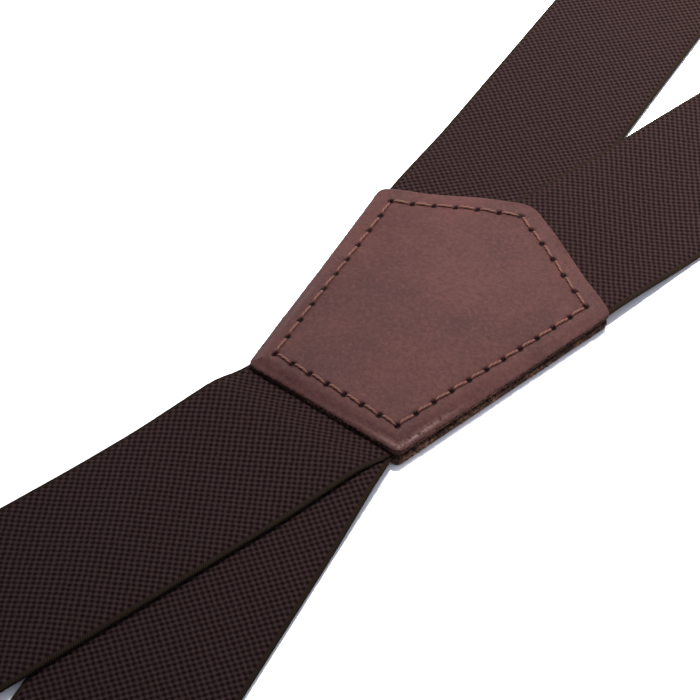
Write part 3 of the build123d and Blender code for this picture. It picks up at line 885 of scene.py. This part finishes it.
def make_leather(name, material, top_of, bottom_of, seed, raw_rim, scuff_and_highlight_share):
    """A closed leather: rings of the upper face, a rounded cut edge, and rings of the lower face.

    The last two arguments are shares from 0 to 1 of the frayed rim and of the pale line of wear and
    painted highlight.
    """
    rings, middle = patch_rings()
    count = rings.shape[1]
    flat = rings.reshape(-1, 2)
    top, hole, inside = top_of(flat)
    low = bottom_of(flat)
    # The cut edge is eased over 0.3 mm on both faces, and its fibres stand out unevenly.
    ease = 0.32 * np.exp(-inside / 0.16)
    upper = np.column_stack([flat, top - ease]).reshape(len(rings), count, 3)
    lower = np.column_stack([flat, low + ease * 0.6]).reshape(len(rings), count, 3)
    rng = np.random.default_rng(seed)
    rough = rng.normal(0, 0.8, count)
    outward = upper[0, :, :2] - upper[2, :, :2]
    outward /= np.linalg.norm(outward, axis=1)[:, None]
    walls = []
    for share in (0.2, 0.4, 0.6, 0.8):
        wall = upper[0] * (1 - share) + lower[0] * share
        bulge = 0.12 * math.sin(math.pi * share) + 0.11 * np.roll(rough, int(37 * share))
        wall[:, :2] += outward * bulge[:, None]
        walls.append(wall)
    rows = np.concatenate([upper[::-1], np.stack(walls), lower])
    cut = np.concatenate([np.zeros(len(rings)), np.ones(len(walls)), np.ones(len(rings))])
    cut = np.repeat(cut, count)
    rim = 1 - soft_step(inside, 0.4, 1.3)
    cut[: len(flat)] = raw_rim * rim.reshape(len(rings), count)[::-1].ravel()
    middle_top = np.append(middle, rows[0, :, 2].mean())
    middle_low = np.append(middle, rows[-1, :, 2].mean())
    points = np.vstack([rows.reshape(-1, 3), middle_top, middle_low])
    faces = tube_faces(len(rows), count)[:, ::-1].tolist()
    last = len(rows) * count
    around = np.arange(count)
    faces += np.stack([around, np.roll(around, -1), np.full(count, last)], axis=1).tolist()
    end = (len(rows) - 1) * count
    closing = [end + np.roll(around, -1), end + around, np.full(count, last + 1)]
    faces += np.stack(closing, axis=1).tolist()
    upper_count = len(rings) * count
    reversed_inside = inside.reshape(len(rings), count)[::-1].ravel()
    reversed_hole = hole.reshape(len(rings), count)[::-1].ravel()
    extra = len(points) - upper_count
    holes = np.concatenate([1 - soft_step(reversed_hole, 0.46, 0.66), np.zeros(extra)])
    # A slight pale band along every rim and a pale line near the foot's corner: partly wear, partly painted
    # highlight.
    corner_gap = np.hypot(*(rows.reshape(-1, 3)[:, :2] - SCUFF_AND_HIGHLIGHT_AT).T)
    scuff_and_highlight = np.exp(-((corner_gap[:upper_count] / SCUFF_AND_HIGHLIGHT_REACH) ** 2))
    rubbed_and_highlight = 0.1 * np.exp(-reversed_inside / 0.3)
    rubbed_and_highlight += scuff_and_highlight_share * scuff_and_highlight * np.exp(-(((reversed_inside - 0.75) / 0.32) ** 2))
    wear_and_highlight = np.concatenate([np.clip(rubbed_and_highlight, 0, 1), np.zeros(extra)])
    cut = np.concatenate([cut, [0, 1]])
    attributes = {"cut_edge": cut, "needle_hole": holes, "wear_and_highlight": wear_and_highlight}
    piece = make_piece(name, points, faces, material, attributes)
    print(name, len(points), "points,", len(faces), "faces")
    return piece


def front_under(points):
    """The front leather's lower face at the given points."""
    return front_base(points[:, 0], points[:, 1])


def rear_top(points):
    """The rear leather's upper face, nearly all of it hidden: flat and without needle holes."""
    inside = -outside_patch(points[:, 0], points[:, 1])
    return np.full(len(points), LEATHER), np.full(len(points), NO_HOLE), inside


def rear_under(points):
    """The rear leather's underside, with the seam's channel cut into it."""
    return REAR_CHANNEL_DEPTH * np.exp(-((seam_distance(points) / CHANNEL_SPREAD) ** 2))


leather_front = make_leather(
    "leather_front", front_hide, front_leather_height, front_under, seed=5, raw_rim=0.0, scuff_and_highlight_share=1.0
)
leather_rear = make_leather(
    "leather_rear", rear_hide, rear_top, rear_under, seed=8, raw_rim=1.0, scuff_and_highlight_share=0.0
)
for piece, node in ((leather_front, "patch_front_leather"), (leather_rear, "patch_rear_leather")):
    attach(piece, "straps")
    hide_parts(node)

# %% [markdown]
# ## Stitches
# A lockstitch shows as short lengths of two-ply thread that dive into a hole at each end and lie
# slightly aslant. All stitches of a seam are one mesh: a small tube is worked out once for every
# stitch together, with its two plies wound round each other.

# %% Stitch helper
THREAD_RADIUS = 0.31
STITCH_STEPS = 13
STITCH_SIDES = 9
STITCH_REACH = 0.36


def make_stitches(
    name, starts, ends, height_at, material, sign=1.0, slant=0.1, sink=0.5, radius=THREAD_RADIUS
):
    """Tubes between pairs of holes. A stitch arches as the fourth root of a half sine, leans from
    one side to the other as a cosine, and swells twice round its section for two plies."""
    share = np.linspace(0, 1, STITCH_STEPS)
    along = ends - starts
    length = np.linalg.norm(along, axis=1)
    along = along / length[:, None]
    side = np.stack([-along[:, 1], along[:, 0]], axis=1)
    lean = slant * np.cos(math.pi * share)
    inside = 0.5 + (share - 0.5) * 2 * STITCH_REACH
    plan = starts[:, None, :] + (ends - starts)[:, None, :] * inside[None, :, None]
    plan = plan + side[:, None, :] * lean[None, :, None]
    arch = np.sin(math.pi * share) ** 0.25
    base = height_at(plan[..., 0], plan[..., 1])
    z = base + sign * (arch * (radius * 0.2 + sink) - sink)[None, :]
    centre = np.concatenate([plan, z[..., None]], axis=-1)
    forward = np.gradient(centre, axis=1)
    forward /= np.linalg.norm(forward, axis=-1)[..., None]
    level = np.cross(forward, np.array([0, 0, 1.0]))
    level /= np.linalg.norm(level, axis=-1)[..., None]
    upward = np.cross(level, forward)
    angle = np.linspace(0, 2 * math.pi, STITCH_SIDES, endpoint=False)
    wind = share[None, :, None] * length[:, None, None] * 1.9
    ply = np.cos(2 * (angle[None, None, :] - wind))
    thick = radius * (1 + 0.16 * ply)
    points = centre[:, :, None, :] + thick[..., None] * (
        np.cos(angle)[None, None, :, None] * level[:, :, None, :]
        + np.sin(angle)[None, None, :, None] * upward[:, :, None, :]
    )
    one = tube_faces(STITCH_STEPS, STITCH_SIDES)[:, ::-1]
    per = STITCH_STEPS * STITCH_SIDES
    shift = np.arange(len(starts)) * per
    faces = (one[None] + shift[:, None, None]).reshape(-1, 4).tolist()
    first, last = np.arange(STITCH_SIDES), per - STITCH_SIDES + np.arange(STITCH_SIDES)[::-1]
    for cap in (first, last):
        faces += (cap[None] + shift[:, None]).tolist()
    # This number sets the thread's painted highlight on each ply's crest and painted shade in its grooves.
    twist = (ply * 0.5 + 0.5).ravel()
    piece = make_piece(name, points.reshape(-1, 3), faces, material, {"twist": twist})
    print(name, len(starts), "stitches")
    return piece


# %% [markdown]
# The seam goes through both leathers, so its stitches lie on the front one and under the rear one,
# where a thinner row turns its arches downwards.

# %% Patch seam
REAR_THREAD_Z = 0.36


def underside(x, y):
    """The level of the thread in the rear leather's channel."""
    return np.full(np.shape(x), REAR_THREAD_Z)


seam_front = make_stitches("seam_front", hole_starts, hole_ends, front_top, seam_thread)
seam_rear = make_stitches(
    "seam_rear", hole_starts, hole_ends, underside, seam_thread, sign=-1.0, slant=0.15, sink=0.3, radius=0.2
)
for piece, node in ((seam_front, "patch_front_thread"), (seam_rear, "patch_rear_thread")):
    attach(piece, "straps")
    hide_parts(node)

# %% [markdown]
# ## Hems
# The doubled ends are sewn with a box of dark stitches: two rows across and two along the edges.

# %% Hem stitches


def hem_pairs(name, s_from, s_to, half_width=14.5, pitch=2.6):
    """Ends of the stitches round a box on a strap, between two distances from its bend."""
    box = np.array([(-half_width, s_from), (half_width, s_from), (half_width, s_to), (-half_width, s_to)])
    starts, ends = [], []
    for a, b in zip(box, np.roll(box, -1, axis=0)):
        count = max(2, round(float(np.linalg.norm(b - a)) / pitch))
        holes = a + (b - a) * np.linspace(0, 1, count + 1)[:, None]
        starts.append(holes[:-1])
        ends.append(holes[1:])
    pairs = []
    for local in (np.vstack(starts), np.vstack(ends)):
        x, y, turn = travel(name, local[:, 1])
        pairs.append(np.stack([x + np.cos(turn) * local[:, 0], y + np.sin(turn) * local[:, 0]], axis=1))
    return pairs


def sew_hems(name, boxes, z):
    """One mesh with the stitches of the same hem on both straps."""
    pairs = [hem_pairs(strap, *boxes) for strap in BEND]
    starts = np.vstack([p[0] for p in pairs])
    ends = np.vstack([p[1] for p in pairs])

    def level(x, y):
        return np.full(np.shape(x), z)

    piece = make_stitches(name, starts, ends, level, hem_thread, sink=0.25, radius=0.22)
    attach(piece, "straps")
    return piece


back_hem = sew_hems("back_hem_stitches", (BACK_HEM - BACK_LEG + 3.5, 17.0 - BACK_LEG), 2 * STRAP_THICK)
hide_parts("back_hem_thread")
wrap_hem = sew_hems("adjuster_hem_stitches", (ADJUSTER_BAR + 12.5, WRAP_END - 2.5), 2 * STRAP_THICK)
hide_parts("adjuster_hem_thread")

# %% [markdown]
# ## Metal and plastic parts
# The exact parts keep their shape and only get their finish.

# %% Finishes on the exact parts
for name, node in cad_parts.items():
    if node.hide_render:
        continue
    if name.endswith("_pin"):
        chosen = steel
    elif name.endswith("_pad"):
        chosen = black_plastic
    else:
        chosen = nickel
    node.data.materials.clear()
    node.data.materials.append(chosen)
print("shown exact parts:", sum(not n.hide_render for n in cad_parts.values()))
